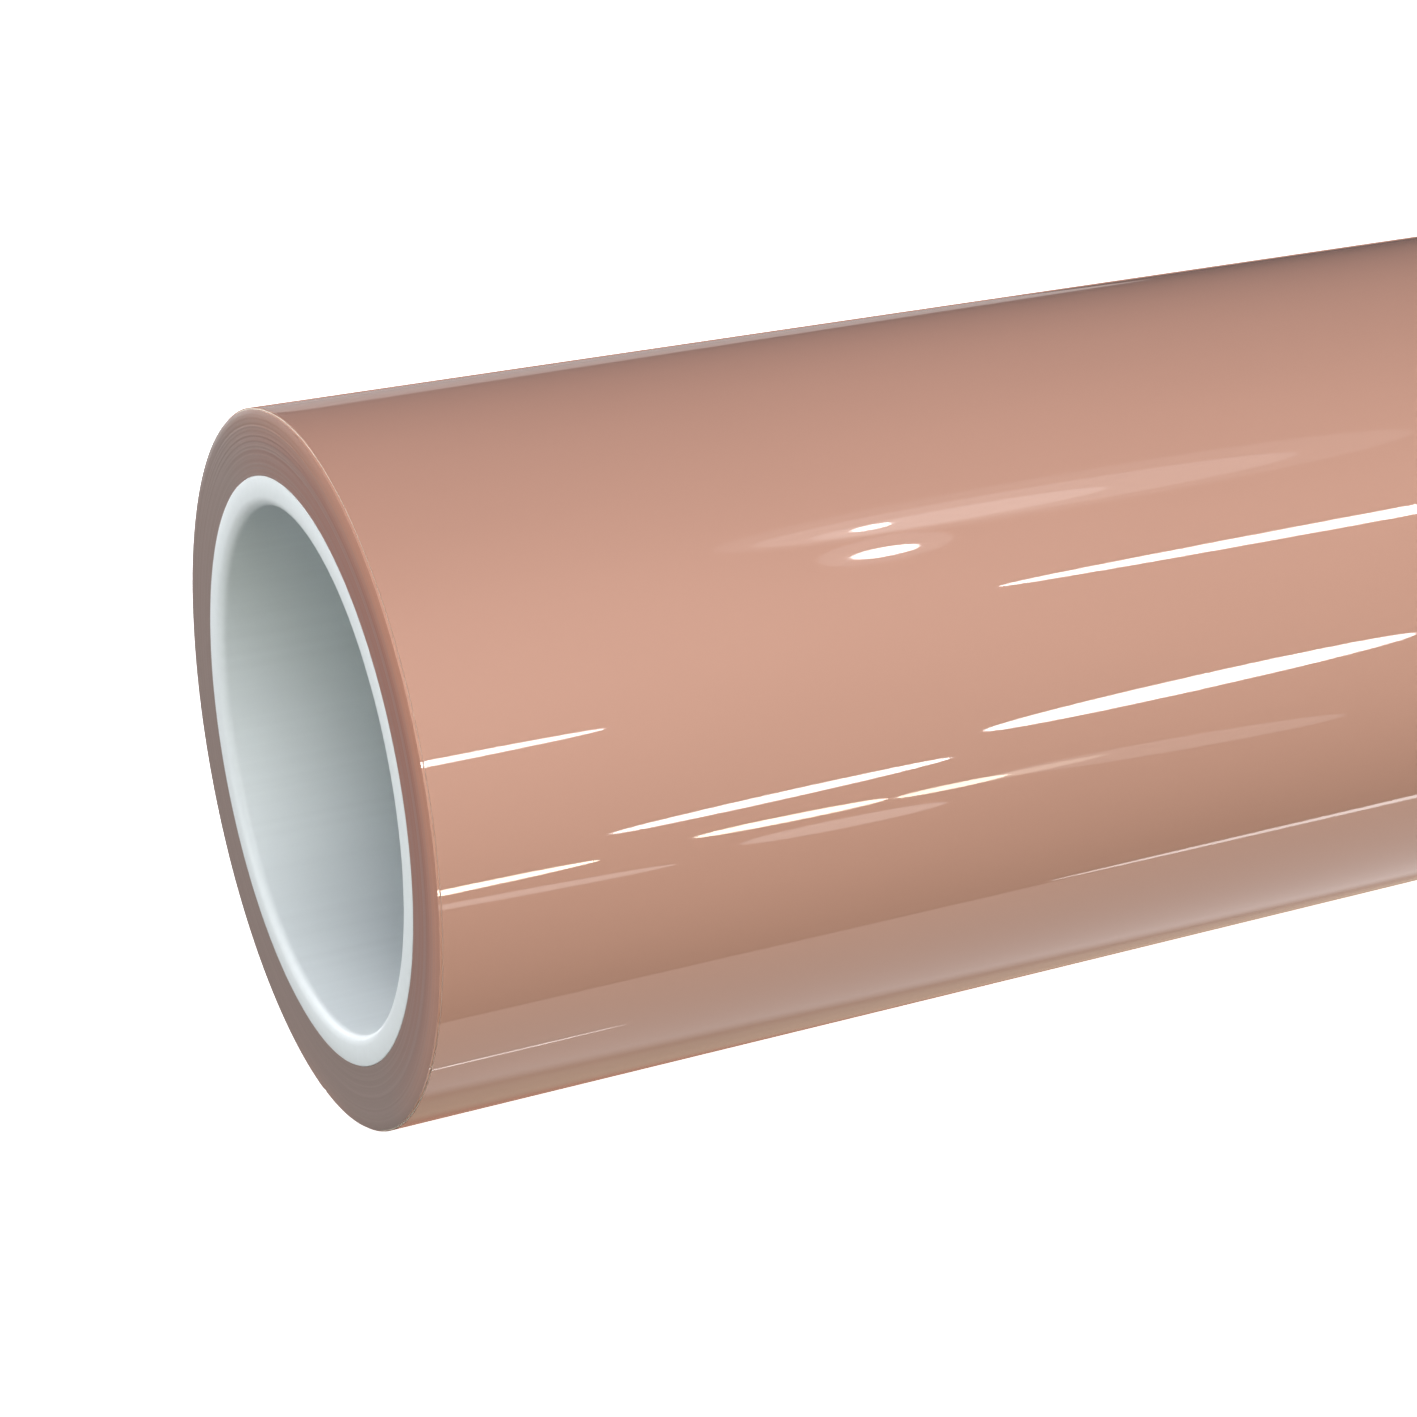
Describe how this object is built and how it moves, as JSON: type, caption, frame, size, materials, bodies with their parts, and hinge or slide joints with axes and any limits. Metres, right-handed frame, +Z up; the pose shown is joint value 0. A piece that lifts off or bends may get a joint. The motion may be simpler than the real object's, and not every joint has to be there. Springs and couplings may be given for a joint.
{
  "type": "copper foil roll",
  "caption": "Wide roll of glossy copper-coloured adhesive foil, wound on a round plastic core that stands open at both ends, with a loose tail end and a pull tab.",
  "frame": {"origin": "on the bore's axis, half-way along the core", "axes": "+X along the roll's axis, +Z up as it lies on its side, +Y towards the back, where the tail and its tab are"},
  "size_m": [0.306, 0.104, 0.1039],
  "materials": {
    "core": "smooth satin white plastic",
    "start_tape": "double-sided film tape",
    "wound_web": "cut edges of many turns",
    "gloss_film": "high gloss, rose copper",
    "copper_foil": "bright rolled copper foil",
    "adhesive": "pressure-sensitive coating",
    "release_liner": "silicone-coated paper",
    "tab_paper": "plain white label stock"
  },
  "bodies": {
    "roll": {"core": "core", "start_tape": "start_tape", "inner_wraps": "wound_web", "outer_release_liner": "release_liner", "outer_adhesive": "adhesive", "outer_copper_foil": "copper_foil", "outer_gloss_film": "gloss_film"},
    "tail": {"tail_release_liner": "release_liner", "tail_adhesive": "adhesive", "tail_copper_foil": "copper_foil", "tail_gloss_film": "gloss_film", "tab_hold": "tab_paper"},
    "tab": {"tab_pull": "tab_paper"}
  },
  "joints": [
    {"name": "tail_lift", "type": "hinge", "parent": "roll", "child": "tail", "pos_m": [0, 0.02117, 0.04755], "axis": [1, 0, 0], "range_deg": [0, 90]},
    {"name": "tab_lift", "type": "hinge", "parent": "tail", "child": "tab", "pos_m": [0, 0.05132, 0.00905], "axis": [1, 0, 0], "range_deg": [0, 110]}
  ]
}
